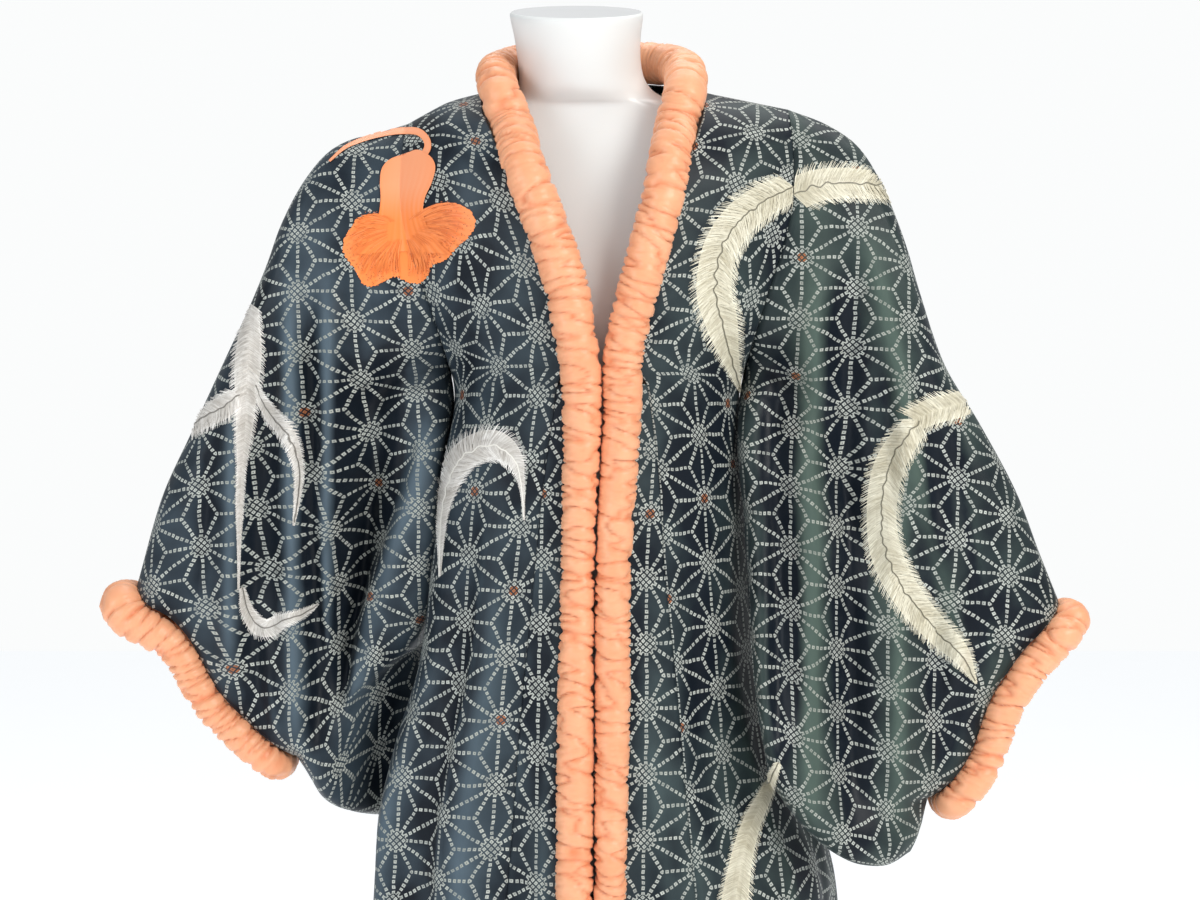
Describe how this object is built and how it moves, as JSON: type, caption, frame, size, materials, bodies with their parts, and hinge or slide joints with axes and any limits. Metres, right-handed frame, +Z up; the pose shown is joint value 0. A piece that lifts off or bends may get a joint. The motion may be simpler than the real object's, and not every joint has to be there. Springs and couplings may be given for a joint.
{
  "type": "kimono on a dress form",
  "caption": "Full-length kimono with wide open sleeves and gathered roll edges, hanging on a limbless dress form with a pole and a round base.",
  "frame": {"origin": "middle of the base's underside, on the floor", "axes": "+Z up, the front faces -Y, +X is the wearer's left"},
  "size_m": [0.8784, 0.37, 1.512],
  "materials": {
    "silk": "dark indigo silk with an all-over white dotted hemp-leaf pattern",
    "trim": "gathered peach silk over padding",
    "form_shell": "smooth off-white moulded shell",
    "pole_steel": "polished steel tube",
    "base_enamel": "off-white enamel"
  },
  "bodies": {
    "root": {"body_left": "silk", "overlap_left": "silk", "sleeve_left": "silk", "cuff_roll_left": "trim", "body_right": "silk", "overlap_right": "silk", "sleeve_right": "silk", "cuff_roll_right": "trim", "neck_roll": "trim", "form": "form_shell", "pole": "pole_steel", "base": "base_enamel"}
  },
  "joints": []
}
